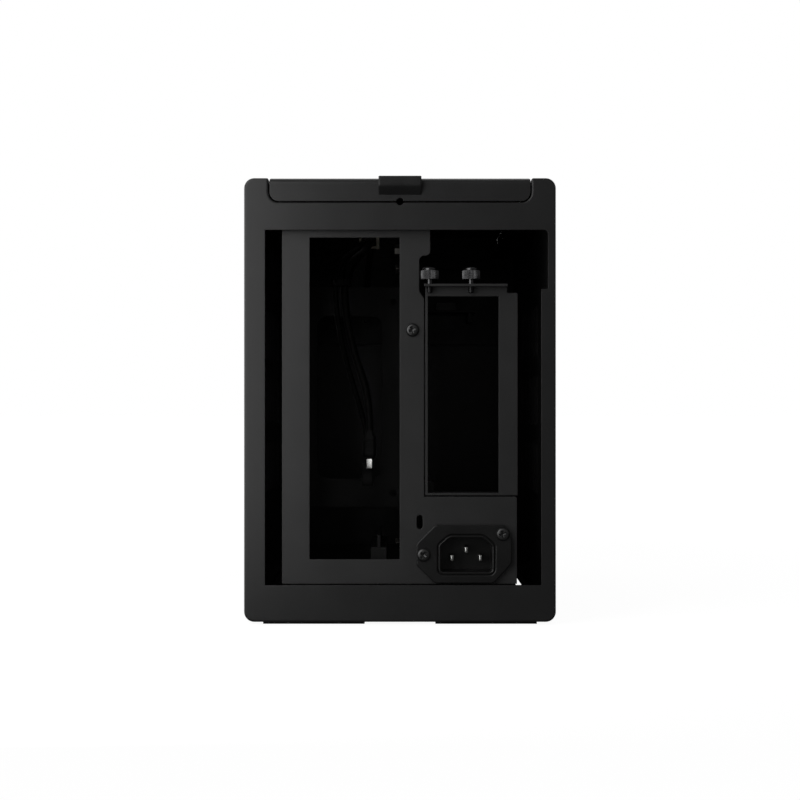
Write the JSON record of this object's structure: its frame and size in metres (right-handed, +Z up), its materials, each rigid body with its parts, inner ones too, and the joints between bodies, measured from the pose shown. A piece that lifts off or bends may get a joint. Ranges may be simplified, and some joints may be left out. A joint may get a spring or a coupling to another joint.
{
  "type": "mini-itx pc case",
  "caption": "Small upright computer case of folded dark sheet with a lift-up lid, tilting side panels and a sliding centre wall that carries a recessed rear plate.",
  "frame": {"origin": "on the standing surface, under the middle of the case's box", "axes": "+Z up, +Y from the rear face to the front, +X to the right as seen from the rear"},
  "size_m": [0.153, 0.3466, 0.2202],
  "materials": {
    "shell_aluminium": "fine matte black anodised",
    "chassis_steel": "fine textured black powder coat",
    "dark_plastic": "matte black moulding",
    "natural_nylon": "uncoloured nylon moulding",
    "tab_leather": "smooth matte black",
    "foot_rubber": "matte black rubber",
    "black_screw_steel": "black oxide",
    "bright_steel": "plated",
    "standoff_brass": "nickel plated brass",
    "circuit_board": "dark solder mask",
    "lead_jacket": "matte black jacket"
  },
  "bodies": {
    "chassis": {"rear_frame": "shell_aluminium", "front_frame": "shell_aluminium", "front_fascia": "dark_plastic", "base_tray": "chassis_steel", "top_rail_left": "chassis_steel", "top_rail_right": "chassis_steel", "top_brace": "chassis_steel", "panel_hinge_pins": "bright_steel", "lid_hinge_pins": "bright_steel", "catch_clips": "dark_plastic", "front_io_board": "circuit_board", "usb_c_port": "bright_steel", "usb_a_port_1": "bright_steel", "usb_a_port_2": "bright_steel", "power_switch": "dark_plastic", "lead_headers": "dark_plastic", "cable_clip": "natural_nylon", "cable_tie": "dark_plastic", "usb_lead": "lead_jacket", "usb_plug": "dark_plastic", "usb_plug_tip": "bright_steel", "panel_lead": "lead_jacket", "panel_plug": "dark_plastic", "foot_rear_left": "foot_rubber", "foot_rear_right": "foot_rubber", "foot_front_left": "foot_rubber", "foot_front_right": "foot_rubber"},
    "lid": {"lid": "shell_aluminium", "pull_tab": "tab_leather"},
    "left_panel": {"left_panel": "shell_aluminium", "left_panel_studs": "black_screw_steel"},
    "right_panel": {"right_panel": "shell_aluminium", "right_panel_studs": "black_screw_steel"},
    "spine": {"spine_plate": "chassis_steel", "spine_screws": "black_screw_steel", "inner_rear_plate": "chassis_steel", "centre_screw": "black_screw_steel", "expansion_bracket": "chassis_steel", "power_inlet": "dark_plastic", "inlet_blades": "bright_steel", "inlet_screws": "black_screw_steel", "board_standoffs": "standoff_brass", "psu_bracket": "chassis_steel", "riser_bracket": "chassis_steel", "riser_board": "circuit_board", "riser_socket": "dark_plastic", "riser_ribbon": "lead_jacket", "riser_plug": "dark_plastic"},
    "thumbscrew_left": {"thumbscrew_left": "black_screw_steel"},
    "thumbscrew_right": {"thumbscrew_right": "black_screw_steel"},
    "power_button": {"power_button": "dark_plastic"}
  },
  "joints": [
    {"name": "lid_hinge", "type": "hinge", "parent": "chassis", "child": "lid", "pos_m": [0, 0.172, 0.2143], "axis": [-1, 0, 0], "range_deg": [0, 80]},
    {"name": "left_panel_hinge", "type": "hinge", "parent": "chassis", "child": "left_panel", "pos_m": [-0.0715, 0, 0.0065], "axis": [0, -1, 0], "range_deg": [0, 90]},
    {"name": "right_panel_hinge", "type": "hinge", "parent": "chassis", "child": "right_panel", "pos_m": [0.0715, 0, 0.0065], "axis": [0, 1, 0], "range_deg": [0, 90]},
    {"name": "spine_slide", "type": "slide", "parent": "chassis", "child": "spine", "axis": [1, 0, 0], "range_m": [-0.0145, 0.0145]},
    {"name": "thumbscrew_left_turn", "type": "hinge", "parent": "spine", "child": "thumbscrew_left", "pos_m": [0.01465, -0.16655, 0.16745], "axis": [0, 0, 1], "continuous": true},
    {"name": "thumbscrew_right_turn", "type": "hinge", "parent": "spine", "child": "thumbscrew_right", "pos_m": [0.03497, -0.16655, 0.16745], "axis": [0, 0, 1], "continuous": true},
    {"name": "power_button_press", "type": "slide", "parent": "chassis", "child": "power_button", "axis": [0, -1, 0], "range_m": [0, 0.0012], "stiffness_N_per_m": 900, "springref_m": -0.0005}
  ]
}
